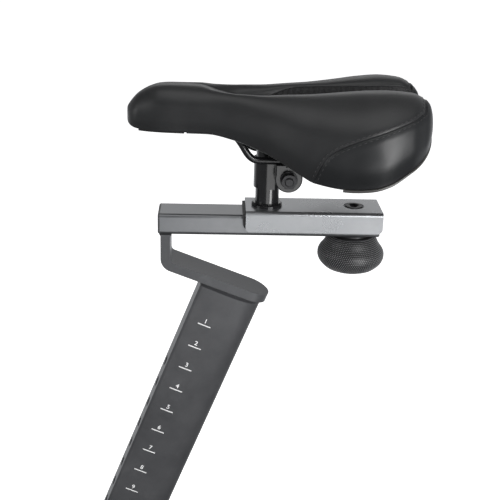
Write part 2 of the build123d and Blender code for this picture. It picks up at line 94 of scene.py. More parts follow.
# %% [markdown]
# ## Camera
# The bike is seen from its left side, a little from above. A camera could be pointed with a
# constraint, but a turned frame built from yaw, tilt and roll shows plainly what each angle does
# and leaves nothing live behind. The lens is a short telephoto, which keeps the tubes nearly
# parallel.

# %% Camera on the rider's left
YAW, TILT, ROLL = math.radians(2.469), math.radians(21.142), math.radians(1.73)
CAMERA_DISTANCE = 900.7
AIM_RIGHT, AIM_UP = 15.7, 42.9

ahead = Vector((math.sin(YAW) * math.cos(TILT), math.cos(YAW) * math.cos(TILT), -math.sin(TILT)))
level = Vector((math.cos(YAW), -math.sin(YAW), 0))
upright = level.cross(ahead)
right = level * math.cos(ROLL) + upright * math.sin(ROLL)
up = upright * math.cos(ROLL) - level * math.sin(ROLL)

camera_data = bpy.data.cameras.new("camera")
camera_data.lens = 68.9
camera_data.sensor_width = 36.0
camera_data.dof.use_dof = False
camera = bpy.data.objects.new("camera", camera_data)
bpy.context.scene.collection.objects.link(camera)
eye = stem_foot - (ahead * CAMERA_DISTANCE + right * AIM_RIGHT + up * AIM_UP) * MM
camera.matrix_world = Matrix.Translation(eye) @ Matrix((right, up, -ahead)).transposed().to_4x4()
bpy.context.scene.camera = camera
print("camera", round(CAMERA_DISTANCE * MM, 3), "m from the stem")

# %% [markdown]
# ## Soft boxes
# Black vinyl and dark paint only show their shape by what they reflect. Large soft boxes give
# wide, slow highlights: one in front on the right models the back of the saddle, one on the left
# picks out the nose and the post's face, weak wide ones overhead and behind draw the tops, and a
# low one in front lights the flat sides. A narrow strip near the camera puts one thin glint on
# each round rod.

# %% Lamps
def soft_box(name, place, aim, width, height, watts):
    """Rectangular lamp at one point that faces another, both from the stem's foot."""
    lamp = bpy.data.lights.new(name, "AREA")
    lamp.shape = "RECTANGLE"
    lamp.size, lamp.size_y = width, height
    lamp.energy = watts
    holder = bpy.data.objects.new(name, lamp)
    bpy.context.scene.collection.objects.link(holder)
    holder.location = from_stem(*place)
    holder.rotation_euler = (from_stem(*aim) - holder.location).to_track_quat("-Z", "Y").to_euler()
    return holder


soft_box("lamp_front_right", (780, -1200, 40), (60, 0, 20), 0.5, 1.5, 20)
soft_box("lamp_front_strip", (330, -1250, 330), (0, 0, 0), 0.12, 0.7, 3.5)
soft_box("lamp_left", (-1250, -500, 380), (-60, 0, 0), 0.5, 0.9, 3.2)
soft_box("lamp_overhead", (0, -250, 1500), (0, 0, 0), 1.5, 1.2, 8)
soft_box("lamp_back", (300, 1500, 620), (0, 0, 0), 1.6, 0.7, 2.6)
soft_box("lamp_low_front", (60, -1050, -330), (20, 0, 0), 0.5, 0.32, 1.0)
print(len(bpy.data.lights), "soft boxes")

# %% [markdown]
# ## The room
# The room is bright near the horizon and dark overhead, which leaves a dark line along the upper
# corner of each tube. Behind and below, a white sweep shows in anything seen at a grazing angle.
# The camera itself sees white, whatever the room's light does.

# %% World
world = bpy.data.worlds.new("studio")
bpy.context.scene.world = world
world.use_nodes = True
sky = world.node_tree


def ramp(source, low, high, at_low, at_high):
    """Value that runs from one number to another while its source goes from low to high."""
    node = sky.nodes.new("ShaderNodeMapRange")
    sky.links.new(source, node.inputs["Value"])
    for label, number in zip(("From Min", "From Max", "To Min", "To Max"), (low, high, at_low, at_high)):
        node.inputs[label].default_value = number
    return node.outputs["Result"]


def combine(operation, first, second=None):
    """One step of arithmetic on the world's values."""
    node = sky.nodes.new("ShaderNodeMath")
    node.operation = operation
    for socket, source in zip(node.inputs, (first, second)):
        if source:
            sky.links.new(source, socket)
    return node.outputs[0]


facing = sky.nodes.new("ShaderNodeTexCoord")
parts = sky.nodes.new("ShaderNodeSeparateXYZ")
sky.links.new(facing.outputs["Generated"], parts.inputs["Vector"])
near_horizon = ramp(combine("ABSOLUTE", parts.outputs["Z"]), 0.05, 0.75, 0.34, 0.03)
below = ramp(parts.outputs["Z"], -0.05, -0.2, 0.0, 1.0)
behind = ramp(parts.outputs["Y"], 0.3, 0.8, 0.0, 0.8)
lit = combine("ADD", near_horizon, combine("MULTIPLY", below, behind))
seen = sky.nodes.new("ShaderNodeLightPath").outputs["Is Camera Ray"]
strength = combine("MAXIMUM", lit, seen)
sky.links.new(strength, sky.nodes["Background"].inputs["Strength"])
sky.nodes["Background"].inputs["Color"].default_value = (0.95, 0.97, 1.0, 1.0)
bpy.context.scene.view_settings.view_transform = "Standard"
print("world made of", len(sky.nodes), "nodes")

# %% [markdown]
# ## Floor
# A pale floor glows a little, as a white sweep does under studio lamps. It is left out of what
# the parts reflect, because the room above already holds the sweep as they see it.

# %% Floor
floor_mesh = bpy.data.meshes.new("floor")
reach = 40.0
corners = [(-reach, -reach), (reach, -reach), (reach, reach), (-reach, reach)]
floor_mesh.from_pydata([(x, y, cad_low.z) for x, y in corners], [], [(0, 1, 2, 3)])
floor = bpy.data.objects.new("floor", floor_mesh)
bpy.context.scene.collection.objects.link(floor)
floor_paint = bpy.data.materials.new("floor_sweep")
floor_paint.use_nodes = True
sweep = floor_paint.node_tree.nodes["Principled BSDF"]
for socket, value in (("Base Color", (0.86, 0.86, 0.86, 1)), ("Roughness", 0.9),
                      ("Specular IOR Level", 0.1), ("Emission Color", (1, 1, 1, 1)),
                      ("Emission Strength", 1.0)):
    sweep.inputs[socket].default_value = value
floor_mesh.materials.append(floor_paint)
floor.visible_diffuse = False
floor.visible_glossy = False
print("floor at", round(cad_low.z, 4), "m")

# %% [markdown]
# ## Building a finish from nodes
# A finish is a shader with a pattern on it. Three short helpers keep the node code readable: one
# places a node and fills or links its sockets, the other starts a node group with named sockets.
# Grain and wear come from groups, so one recipe serves several finishes with other numbers.

# %% Node helpers
def put(tree, kind, inputs=(), **settings):
    """Place a node, set its properties, and fill or link its inputs."""
    made = tree.nodes.new(kind)
    for key, value in settings.items():
        setattr(made, key, value)
    for key, value in dict(inputs).items():
        if isinstance(value, bpy.types.NodeSocket):
            tree.links.new(value, made.inputs[key])
        else:
            made.inputs[key].default_value = value
    return made


def start_group(name, inputs, outputs):
    """Empty shader group with named inputs (name, kind, value) and outputs (name, kind)."""
    tree = bpy.data.node_groups.new(name, "ShaderNodeTree")
    for label, kind, value in inputs:
        socket = tree.interface.new_socket(name=label, in_out="INPUT", socket_type="NodeSocket" + kind)
        if value is not None:
            socket.default_value = value
    for label, kind in outputs:
        tree.interface.new_socket(name=label, in_out="OUTPUT", socket_type="NodeSocket" + kind)
    return tree, tree.nodes.new("NodeGroupInput"), tree.nodes.new("NodeGroupOutput")


def blend_colours(tree, share, first, second):
    """Mix two colours by a share that changes over the surface."""
    mix = put(tree, "ShaderNodeMix", {0: share, 6: first, 7: second}, data_type="RGBA")
    return mix.outputs[2]


print("node helpers ready")

# %% [markdown]
# ## Fine grain
# Powder coat dries with a faint orange peel, and moulded plastic carries the spark texture of its
# mould. Both are small even bumps with a slow change of tone over the part. One noise makes the
# bumps, a much larger one the tone and the gloss.

# %% Group: fine grain
GRAIN_INPUTS = (("Vector", "Vector", None), ("Scale", "Float", 1200.0), ("Colour", "Color", None),
                ("Light", "Color", None), ("Roughness", "Float", 0.5))
GRAIN_OUTPUTS = (("Colour", "Color"), ("Roughness", "Float"), ("Height", "Float"))


def fine_grain_group():
    tree, given, result = start_group("fine_grain", GRAIN_INPUTS, GRAIN_OUTPUTS)
    bumps = put(tree, "ShaderNodeTexNoise", {
        "Vector": given.outputs["Vector"], "Scale": given.outputs["Scale"],
        "Detail": 2.0, "Roughness": 0.55})
    tone = put(tree, "ShaderNodeTexNoise", {
        "Vector": given.outputs["Vector"], "Scale": 22.0, "Detail": 5.0, "Roughness": 0.6})
    share = put(tree, "ShaderNodeMapRange", {
        "Value": tone.outputs["Fac"], "From Min": 0.36, "From Max": 0.66})
    colour = blend_colours(tree, share.outputs[0], given.outputs["Colour"], given.outputs["Light"])
    offset = put(tree, "ShaderNodeMath", {0: given.outputs["Roughness"], 1: 0.09}, operation="SUBTRACT")
    gloss = put(tree, "ShaderNodeMath", {
        0: tone.outputs["Fac"], 1: 0.18, 2: offset.outputs[0]}, operation="MULTIPLY_ADD")
    tree.links.new(colour, result.inputs["Colour"])
    tree.links.new(gloss.outputs[0], result.inputs["Roughness"])
    tree.links.new(bumps.outputs["Fac"], result.inputs["Height"])
    return tree


fine_grain = fine_grain_group()
print("group", fine_grain.name)

# %% [markdown]
# ## Leather grain
# Synthetic leather is vinyl rolled against an engraved drum: small rounded pebbles with narrow
# valleys between them, pulled longer here and there where the sheet was stretched. Smooth Voronoi
# cells give the pebbles, and noise bends their borders so that no row looks printed.

# %% Group: leather grain
def leather_grain_group():
    tree, given, result = start_group("leather_grain", GRAIN_INPUTS, GRAIN_OUTPUTS)
    bend = put(tree, "ShaderNodeTexNoise", {
        "Vector": given.outputs["Vector"], "Scale": 260.0, "Detail": 2.0})
    nudge = put(tree, "ShaderNodeVectorMath", {0: bend.outputs["Color"], "Scale": 0.0012}, operation="SCALE")
    bent = put(tree, "ShaderNodeVectorMath", {0: given.outputs["Vector"], 1: nudge.outputs[0]},
               operation="ADD")
    cells = put(tree, "ShaderNodeTexVoronoi", {
        "Vector": bent.outputs[0], "Scale": given.outputs["Scale"], "Smoothness": 0.35},
        feature="SMOOTH_F1")
    pebble = put(tree, "ShaderNodeMath", {0: 1.0, 1: cells.outputs["Distance"]}, operation="SUBTRACT")
    tone = put(tree, "ShaderNodeTexNoise", {
        "Vector": given.outputs["Vector"], "Scale": 14.0, "Detail": 6.0, "Roughness": 0.62})
    share = put(tree, "ShaderNodeMapRange", {
        "Value": tone.outputs["Fac"], "From Min": 0.34, "From Max": 0.68})
    colour = blend_colours(tree, share.outputs[0], given.outputs["Colour"], given.outputs["Light"])
    worn = put(tree, "ShaderNodeMath", {0: pebble.outputs[0], 1: -0.14, 2: given.outputs["Roughness"]},
               operation="MULTIPLY_ADD")
    gloss = put(tree, "ShaderNodeMath", {0: tone.outputs["Fac"], 1: 0.16, 2: worn.outputs[0]},
                operation="MULTIPLY_ADD")
    tree.links.new(colour, result.inputs["Colour"])
    tree.links.new(gloss.outputs[0], result.inputs["Roughness"])
    tree.links.new(pebble.outputs[0], result.inputs["Height"])
    return tree


leather_grain = leather_grain_group()
print("group", leather_grain.name)

# %% [markdown]
# ## Handling marks
# A slide and a knob are gripped and pushed, so they carry faint rubbed patches and specks of dust.
# Real wear follows edges and hands; a patchy noise with a high threshold gives the same thin,
# broken look at this scale and costs little.

# %% Group: handling marks
def handling_group():
    inputs = (("Vector", "Vector", None), ("Size", "Float", 60.0), ("Cover", "Float", 0.3),
              ("Colour", "Color", None), ("Mark", "Color", None), ("Roughness", "Float", None))
    tree, given, result = start_group("handling_marks", inputs, GRAIN_OUTPUTS[:2])
    patches = put(tree, "ShaderNodeTexNoise", {
        "Vector": given.outputs["Vector"], "Scale": given.outputs["Size"],
        "Detail": 9.0, "Roughness": 0.68, "Distortion": 0.4})
    share = put(tree, "ShaderNodeMapRange", {
        "Value": patches.outputs["Fac"], "From Min": 0.56, "From Max": 0.74})
    thin = put(tree, "ShaderNodeMath", {0: share.outputs[0], 1: given.outputs["Cover"]},
               operation="MULTIPLY")
    colour = blend_colours(tree, thin.outputs[0], given.outputs["Colour"], given.outputs["Mark"])
    dull = put(tree, "ShaderNodeMath", {0: thin.outputs[0], 1: 0.3, 2: given.outputs["Roughness"]},
               operation="MULTIPLY_ADD")
    tree.links.new(colour, result.inputs["Colour"])
    tree.links.new(dull.outputs[0], result.inputs["Roughness"])
    return tree


handling_marks = handling_group()
print("group", handling_marks.name)

# %% [markdown]
# ## A finish
# Every finish here is one Principled shader. Its plain numbers sit on the shader itself; what
# changes over the surface comes from the groups: colour and gloss through the handling marks, and
# the grain's height through a Bump node.

# %% From groups to a material
def finish(name, grain, colour, light, roughness, scale, bump, depth=0.08, marks=None, **plain):
    """Material with a grain, faint marks, and plain shader values given by socket name."""
    material = bpy.data.materials.new(name)
    material.use_nodes = True
    tree = material.node_tree
    shader = tree.nodes["Principled BSDF"]
    place = put(tree, "ShaderNodeTexCoord").outputs["Object"]
    skin = put(tree, "ShaderNodeGroup", node_tree=grain)
    tree.links.new(place, skin.inputs["Vector"])
    skin.inputs["Scale"].default_value = scale
    skin.inputs["Colour"].default_value = (*colour, 1)
    skin.inputs["Light"].default_value = (*light, 1)
    skin.inputs["Roughness"].default_value = roughness
    worn = put(tree, "ShaderNodeGroup", node_tree=handling_marks)
    tree.links.new(place, worn.inputs["Vector"])
    tree.links.new(skin.outputs["Colour"], worn.inputs["Colour"])
    tree.links.new(skin.outputs["Roughness"], worn.inputs["Roughness"])
    size, cover, mark = marks or (45.0, 0.12, tuple(2.2 * c + 0.01 for c in light))
    worn.inputs["Size"].default_value = size
    worn.inputs["Cover"].default_value = cover
    worn.inputs["Mark"].default_value = (*mark, 1)
    tree.links.new(worn.outputs["Colour"], shader.inputs["Base Color"])
    tree.links.new(worn.outputs["Roughness"], shader.inputs["Roughness"])
    raised = put(tree, "ShaderNodeBump", {
        "Strength": bump, "Distance": depth * MM, "Height": skin.outputs["Height"]})
    tree.links.new(raised.outputs["Normal"], shader.inputs["Normal"])
    for socket, value in plain.items():
        shader.inputs[socket.replace("_", " ")].default_value = value
    return material


print("finish helper ready")

# %% [markdown]
# ## Paints, steels and plastics
# The post and its neck are charcoal powder coat. The sleeve and the rail under it are a lighter
# satin grey. Everything that clamps the saddle is gloss black enamel, and the bolts are blackened
# steel. The knob is black plastic that many hands have dulled.

# %% The finishes
post_paint = finish("post_paint", fine_grain, (0.080, 0.081, 0.086), (0.105, 0.106, 0.111), 0.42,
                    1500, 0.55, 0.12, Metallic=0.35)
neck_paint = finish("neck_paint", fine_grain, (0.085, 0.087, 0.092), (0.110, 0.112, 0.117), 0.40,
                    1500, 0.5, 0.12, Metallic=0.35)
sleeve_paint = finish("sleeve_paint", fine_grain, (0.270, 0.278, 0.288), (0.318, 0.325, 0.335), 0.28,
                      1700, 0.35, 0.08, marks=(30.0, 0.03, (0.2, 0.2, 0.21)), Metallic=0.8)
rail_paint = finish("rail_paint", fine_grain, (0.200, 0.206, 0.214), (0.240, 0.245, 0.253), 0.31,
                    1700, 0.35, 0.08, marks=(30.0, 0.04, (0.13, 0.13, 0.14)), Metallic=0.8)
cap_plastic = finish("cap_plastic", fine_grain, (0.085, 0.087, 0.090), (0.10, 0.102, 0.106), 0.45,
                     2200, 0.35)
black_plastic = finish("black_plastic", fine_grain, (0.016, 0.016, 0.017), (0.022, 0.022, 0.023), 0.5,
                       2000, 0.4)
base_plastic = finish("base_plastic", fine_grain, (0.015, 0.015, 0.016), (0.021, 0.021, 0.022), 0.42,
                      900, 0.6, 0.12)
# Painted bounce light: the lip is the base's own black plastic, and this lighter, brownish grey stands in
# for light the floor bounces up onto it.
rim_painted_bounce_light = finish("rim_painted_bounce_light", fine_grain, (0.055, 0.053, 0.050), (0.07, 0.068, 0.064), 0.4,
                     900, 0.5, 0.1)
knob_plastic = finish("knob_plastic", fine_grain, (0.009, 0.009, 0.010), (0.014, 0.014, 0.015), 0.44,
                      1900, 0.35, marks=(70.0, 0.2, (0.09, 0.09, 0.09)))
# Painted highlight: the dots are the knob's own black plastic, and this light grey stands in for the glint
# on each dome.
dot_painted_highlight = finish("dot_painted_highlight", fine_grain, (0.200, 0.201, 0.205), (0.26, 0.261, 0.266), 0.3,
                     1900, 0.2)
black_enamel = finish("black_enamel", fine_grain, (0.008, 0.008, 0.009), (0.011, 0.011, 0.012), 0.22,
                      420, 0.12, 0.06, Coat_Weight=0.35, Coat_Roughness=0.08)
black_oxide = finish("black_oxide", fine_grain, (0.028, 0.028, 0.030), (0.05, 0.05, 0.052), 0.36,
                     800, 0.4, 0.08, Metallic=0.75)
turned_brass = finish("turned_brass", fine_grain, (0.62, 0.46, 0.2), (0.75, 0.58, 0.3), 0.3,
                      900, 0.3, 0.06, Metallic=1.0)
weld_bead = finish("weld_bead", fine_grain, (0.040, 0.041, 0.044), (0.06, 0.061, 0.065), 0.42,
                   420, 1.0, 0.5)
print(len(bpy.data.materials), "materials so far")

# %% [markdown]
# ## Dressing the CAD parts
# The CAD parts keep their shapes. Only the material in each one's slot changes, and which finish
# a part gets is a short list that a reader can check against the real bike.

# %% Finishes onto CAD parts
WEARS = {
    post_paint: ("seat_post",),
    neck_paint: ("neck_bracket",),
    weld_bead: ("post_weld", "rail_weld"),
    sleeve_paint: ("slide_sleeve",),
    rail_paint: ("slide_rail",),
    cap_plastic: ("rail_cap_front", "rail_cap_back"),
    black_plastic: ("slide_liner", "post_end_plug", "stem_plug"),
    base_plastic: ("saddle_base", "nose_plate"),
    knob_plastic: ("clamp_knob",),
    turned_brass: ("knob_insert",),
    black_oxide: ("clamp_bolt", "knob_washer", "cross_stud", "cheek_washer_left", "cheek_washer_right",
                  "stud_nut_left", "stud_nut_right"),
    black_enamel: ("stem", "stem_collar", "clip_strap", "tooth_disc_left", "tooth_disc_right",
                   "cradle_left", "cradle_right", "cheek_left", "cheek_right",
                   "saddle_rail_left", "saddle_rail_right"),
}
for paint, names in WEARS.items():
    for name in names:
        part = frame["nodes"][name]
        if not part.material_slots:
            part.data.materials.append(paint)
        for holder in part.material_slots:
            holder.material = paint
print(sum(len(names) for names in WEARS.values()), "CAD parts dressed")

# %% [markdown]
# ## Leathers and cloth
# The saddle's top is smooth black vinyl with a soft sheen. The two rear panels are a slightly
# glossier sheet. A thin mesh cloth lines the relief channel down the middle, and the thread is
# dark grey.

# %% Leathers, mesh and thread
cover_leather = finish("cover_leather", leather_grain, (0.0105, 0.011, 0.0118),
                       (0.0155, 0.016, 0.017), 0.44, 1000, 0.35, 0.07, Specular_IOR_Level=0.5,
                       Sheen_Weight=0.08)
panel_leather = finish("panel_leather", leather_grain, (0.0105, 0.0112, 0.0122),
                       (0.0155, 0.0163, 0.0175), 0.4, 1300, 0.3, 0.06, Specular_IOR_Level=0.5)
mesh_cloth = finish("mesh_cloth", leather_grain, (0.006, 0.006, 0.0065), (0.020, 0.020, 0.021), 0.7,
                    620, 1.0, 0.45, Sheen_Weight=0.2)
thread = finish("thread", fine_grain, (0.035, 0.035, 0.036), (0.052, 0.052, 0.053), 0.5, 2600, 0.5)
staple_wire = finish("staple_wire", fine_grain, (0.5, 0.5, 0.52), (0.6, 0.6, 0.62), 0.3, 900, 0.2,
                     0.05, Metallic=1.0)
print("saddle finishes ready")

# %% [markdown]
# ## The saddle's shape as curves
# A saddle is drawn as a few long curves seen from the side and from above: how wide it is, where
# its lower edge runs, how high its two lobes stand and where, and how the relief channel between
# them sinks. Each curve passes smoothly through a few knots and never overshoots them.

# %% Long curves of the saddle
def smooth_through(*knots):
    """Function of one number through (place, value) knots, smooth and without overshoot."""
    x, y = np.array(knots, float).T
    gap = np.diff(x)
    slope = np.diff(y) / gap
    tangent = np.zeros_like(y)
    same = slope[:-1] * slope[1:] > 0
    safe_a = np.where(same, slope[:-1], 1.0)
    safe_b = np.where(same, slope[1:], 1.0)
    weight_a, weight_b = 2 * gap[1:] + gap[:-1], gap[1:] + 2 * gap[:-1]
    mean = (weight_a + weight_b) / (weight_a / safe_a + weight_b / safe_b)
    tangent[1:-1] = np.where(same, mean, 0)
    tangent[0], tangent[-1] = slope[0], slope[-1]

    def value(at):
        at = np.clip(np.asarray(at, float), x[0], x[-1])
        k = np.clip(np.searchsorted(x, at, side="right") - 1, 0, len(gap) - 1)
        u = (at - x[k]) / gap[k]
        return ((1 + 2 * u) * (1 - u) ** 2 * y[k] + u * (1 - u) ** 2 * gap[k] * tangent[k]
                + u * u * (3 - 2 * u) * y[k + 1] + u * u * (u - 1) * gap[k] * tangent[k + 1])
    return value


NOSE, TAIL = -129.0, 143.0
half_width = smooth_through((-129, 17), (-118, 19.5), (-100, 25), (-74, 28), (-44, 33), (-10, 47),
                            (25, 67), (60, 83), (90, 90), (116, 83), (131, 69), (143, 54))
lower_edge = smooth_through((-129, 76), (-100, 74.2), (-56, 74.8), (-36, 71.6), (-10, 64.3),
                            (10, 55.8), (24, 48.6), (36, 43.4), (63, 41.2), (83, 43.2), (100, 48),
                            (117, 58), (127, 64), (134, 71), (143, 80))
crest_height = smooth_through((-129, 95), (-117.4, 104.4), (-108, 109.4), (-99, 112), (-90, 112.7),
                              (-64, 112.2), (-50, 109.8), (-28, 108.2), (-10, 108.2), (28, 110.2),
                              (65, 113.8), (83, 115.7), (102, 116.8), (121, 115.4), (132, 111), (143, 104))
crest_out = smooth_through((-129, 5), (-100, 7.5), (-64, 10), (-50, 16.5), (-28, 23.5), (8, 27.5),
                           (46, 29), (83, 36.7), (102, 41), (125, 40), (143, 32))
lip_out = smooth_through((-129, 2), (-64, 4.5), (-44, 9), (-28, 12.5), (8, 18.5), (28, 20.5), (65, 18),
                         (83, 18), (102, 19.7), (125, 23), (143, 20))
lip_height = smooth_through((-129, 95.2), (-117.4, 104.6), (-108, 109.7), (-99, 112.3), (-90, 113),
                            (-64, 112.3), (-50, 108.6), (-28, 104.6), (-10, 105.2), (8, 107.4), (28, 109),
                            (65, 110.8), (102, 111.7), (121, 111.6), (132, 107), (143, 100))
centre_height = smooth_through((-129, 95.2), (-117.4, 104.6), (-108, 109.7), (-99, 112.3), (-90, 113),
                               (-64, 112), (-50, 107.6), (-28, 101.5), (-10, 98.5), (28, 96.5),
                               (83, 98), (121, 98), (143, 92))
print("widest point", round(2 * float(half_width(90.0)), 1), "mm")

# %% [markdown]
# ## From curves to a surface
# A half section has eight knots, from the lower edge over the flank and the crest down into the
# channel. A curve through them at each station gives the surface, and both ends are drawn in
# like the end of an egg. The tail gets a notch where the channel runs out.

# %% Surface of one half
KNOTS = 8
LIP_KNOT, CENTRE_KNOT = 5.0, 7.0
NOSE_ROUND, TAIL_ROUND = 12.0, 14.0
NOSE_MIDDLE, TAIL_MIDDLE = 86.0, 89.0
NOTCH_DEPTH, NOTCH_WIDTH = 12.0, 17.0


def closing(x):
    """1 along the saddle, falling to 0 at the tips as a rounded end does."""
    nose = np.clip((NOSE + NOSE_ROUND - x) / NOSE_ROUND, 0, 1)
    tail = np.clip((x - TAIL + TAIL_ROUND) / TAIL_ROUND, 0, 1)
    return (1 - nose ** 2.4) ** (1 / 2.4) * (1 - tail ** 2.6) ** (1 / 2.6)


def section_knots(x):
    """The eight knots (y, z) of the half section at x."""
    half, low, top = half_width(x), lower_edge(x), crest_height(x)
    rise, out, lip = top - low, crest_out(x), lip_out(x)
    shoulder = out + 0.50 * (0.93 * half - out)
    floor_z, lip_z = centre_height(x), lip_height(x)
    y = np.stack([0.95 * half, half, 0.93 * half, shoulder, out, lip, 0.80 * lip, 0 * half])
    z = np.stack([low, low + 0.30 * rise, low + 0.66 * rise, top - 0.085 * rise, top, lip_z,
                  floor_z + 0.22 * (lip_z - floor_z), floor_z])
    shrink = closing(x)
    middle = np.where(x < 0, NOSE_MIDDLE, TAIL_MIDDLE)
    return y * shrink, middle + (z - middle) * (0.42 + 0.58 * shrink)


def saddle_point(x, t):
    """Points (x, y, z) of the right half: t runs 0 to 7 from the lower edge to the centre line."""
    y, z = section_knots(x)
    knot = np.stack([y, z], axis=-1)
    step = np.diff(knot, axis=0)
    gap = np.sqrt((step ** 2).sum(-1, keepdims=True)) + 1e-4
    unit = step / gap
    tangent = np.empty_like(knot)
    tangent[1:-1] = (unit[:-1] * gap[1:] + unit[1:] * gap[:-1]) / (gap[:-1] + gap[1:])
    tangent[0] = unit[0]
    tangent[-1] = np.array([-1.0, 0.0])
    k = np.clip(np.floor(t).astype(int), 0, KNOTS - 2)
    u = (t - k)[..., None]

    def pick(values, at):
        return np.take_along_axis(values, at[None, ..., None], axis=0)[0]

    length = pick(gap, k)
    flat = ((1 + 2 * u) * (1 - u) ** 2 * pick(knot, k) + u * (1 - u) ** 2 * length * pick(tangent, k)
            + u * u * (3 - 2 * u) * pick(knot, k + 1) + u * u * (u - 1) * length * pick(tangent, k + 1))
    pull = np.clip((x - 95) / (TAIL - 95), 0, 1) ** 2
    notch = NOTCH_DEPTH * pull * np.exp(-(flat[..., 0] / NOTCH_WIDTH) ** 2)
    return np.stack([x - notch, flat[..., 0], flat[..., 1]], axis=-1)


def surface_normal(x, t):
    """Unit normal, pointing out of the saddle, from small steps along and across."""
    d = 0.02
    along = saddle_point(np.minimum(x + d, TAIL), t) - saddle_point(np.maximum(x - d, NOSE), t)
    across = saddle_point(x, np.minimum(t + d, 7)) - saddle_point(x, np.maximum(t - d, 0))
    out = np.cross(across, along)
    return out / (np.linalg.norm(out, axis=-1, keepdims=True) + 1e-9)


print("section at x 90:", np.round(saddle_point(np.full(8, 90.0), np.arange(8.0))[:, 1:], 1).tolist())

# %% [markdown]
# ## Where the covering is cut
# The covering is three cuts: a top that runs from nose to tail, a panel wrapped round each rear
# corner, and the channel's lining. The panel's seam climbs steeply from the lower edge, sweeps
# back along the flank and then crosses over the tail. It is stored as the knot value t at each
# station, so the pieces share exactly the same edge.

# %% Seam lines as values of t
SEAM_FRONT, SEAM_TURN, SEAM_END = 35.0, 126.5, 134.5
seam_height = smooth_through((35, 43.5), (36.5, 46.8), (39.5, 56), (44.5, 66), (53.5, 74.5), (61, 78.8),
                             (72.5, 84.2), (84, 88.8), (96, 93.1), (108, 97), (118.5, 100.6),
                             (126.5, 103.8))


SEARCH_STEPS = 321


def seam_on_flank(x):
    """t where the flank reaches the seam's height, for an array of stations."""
    t = np.linspace(0, 4, SEARCH_STEPS)
    x_grid, t_grid = np.repeat(x[:, None], SEARCH_STEPS, 1), np.repeat(t[None], len(x), 0)
    heights = saddle_point(x_grid, t_grid)[..., 2]
    return np.array([np.interp(z, row, t) for z, row in zip(seam_height(x), heights)])


def panel_edge(x):
    """t of the rear panel's upper edge: 0 in front of it, 7 behind it."""
    flank = seam_on_flank(np.clip(x, SEAM_FRONT, SEAM_TURN))
    share = np.clip((x - SEAM_TURN) / (SEAM_END - SEAM_TURN), 0, 1)
    over = flank + (CENTRE_KNOT - flank) * share ** 3
    return np.where(x < SEAM_FRONT, 0.0, np.where(x > SEAM_TURN, over, flank))


def lining_edge(x):
    """t of the lining's outer edge: the centre line in front of its tip, the lip behind it."""
    share = np.clip((x + 14) / 40, 0, 1)
    return CENTRE_KNOT - (CENTRE_KNOT - LIP_KNOT - 0.15) * np.sin(share * math.pi / 2) ** 0.8


print("seam leaves the lower edge at x", SEAM_FRONT, "and crosses the tail at x", SEAM_END)

# %% [markdown]
# ## Seams press in, foam pushes out
# Thread pulls a seam down into the foam, the foam swells beside it, and the vinyl puckers a
# little at each stitch. The distance from each point to the seam drives all three. A slow noise
# adds the slight unevenness of foam under a stretched cover. A cloth simulation would puff the
# shape, while this cover is stretched over moulded foam, so the moves are made directly.

# %% Dressed surface
STITCH_PITCH = 4.9
VALLEY_DEPTH, VALLEY_WIDTH = 0.8, 1.0
SWELL_HEIGHT, SWELL_AWAY, SWELL_WIDTH = 0.25, 6, 3.5
PUCKER_HEIGHT, PUCKER_WIDTH = 0.16, 3.2
UNEVEN_HEIGHT, UNEVEN_SIZE = 0.30, 26
seam_x = np.concatenate([np.arange(SEAM_FRONT, SEAM_TURN, 0.5), np.arange(SEAM_TURN, SEAM_END, 0.05)])
seam_t = panel_edge(seam_x)
seam_points = saddle_point(seam_x, seam_t)
seam_run = np.concatenate([[0], np.cumsum(np.linalg.norm(np.diff(seam_points, axis=0), axis=1))])
seam_tree = KDTree(len(seam_points))
for index, point in enumerate(seam_points):
    seam_tree.insert(point, index)
seam_tree.balance()


def to_seam(points):
    """Distance to the seam and how far along it, for an array of points on the right half."""
    found = [seam_tree.find(p) for p in points.reshape(-1, 3)]
    distance = np.array([f[2] for f in found]).reshape(points.shape[:-1])
    along = seam_run[[f[1] for f in found]].reshape(points.shape[:-1])
    return distance, along


def dressed_point(x, t):
    """Surface point with seam, swelling, puckers and unevenness."""
    points = saddle_point(x, t)
    distance, along = to_seam(points)
    lift = -VALLEY_DEPTH * np.exp(-(distance / VALLEY_WIDTH) ** 2)
    lift += SWELL_HEIGHT * np.exp(-((distance - SWELL_AWAY) / SWELL_WIDTH) ** 2)
    pucker = np.sin(2 * math.pi * along / STITCH_PITCH)
    lift += PUCKER_HEIGHT * pucker * np.exp(-(distance / PUCKER_WIDTH) ** 2)
    rough = [noise.noise(Vector(p) / UNEVEN_SIZE) for p in points.reshape(-1, 3)]
    lift += UNEVEN_HEIGHT * np.array(rough).reshape(lift.shape) * np.clip(closing(x) * 2, 0, 1)
    return points + surface_normal(x, t) * lift[..., None]


print("seam is", round(float(seam_run[-1]), 1), "mm long on each side")

# %% [markdown]
# ## Sheets of vinyl
# Each cut is a grid of points between two edges, once for the right half and once mirrored for
# the left. Doubled points where halves meet are merged, and a Solidify modifier gives the sheet
# its thickness towards the foam.

# %% Make a sheet from two halves
VINYL, CLOTH = 1.6, 1.0
WELD, SLIVER = 0.00002, 0.000005


def half_faces(rows, columns, first, mirrored):
    """Quads of one grid, wound so that they face away from the foam."""
    faces = []
    for r in range(rows - 1):
        for c in range(columns - 1):
            a = first + r * columns + c
            quad = (a, a + columns, a + columns + 1, a + 1)
            faces.append(quad[::-1] if mirrored else quad)
    return faces


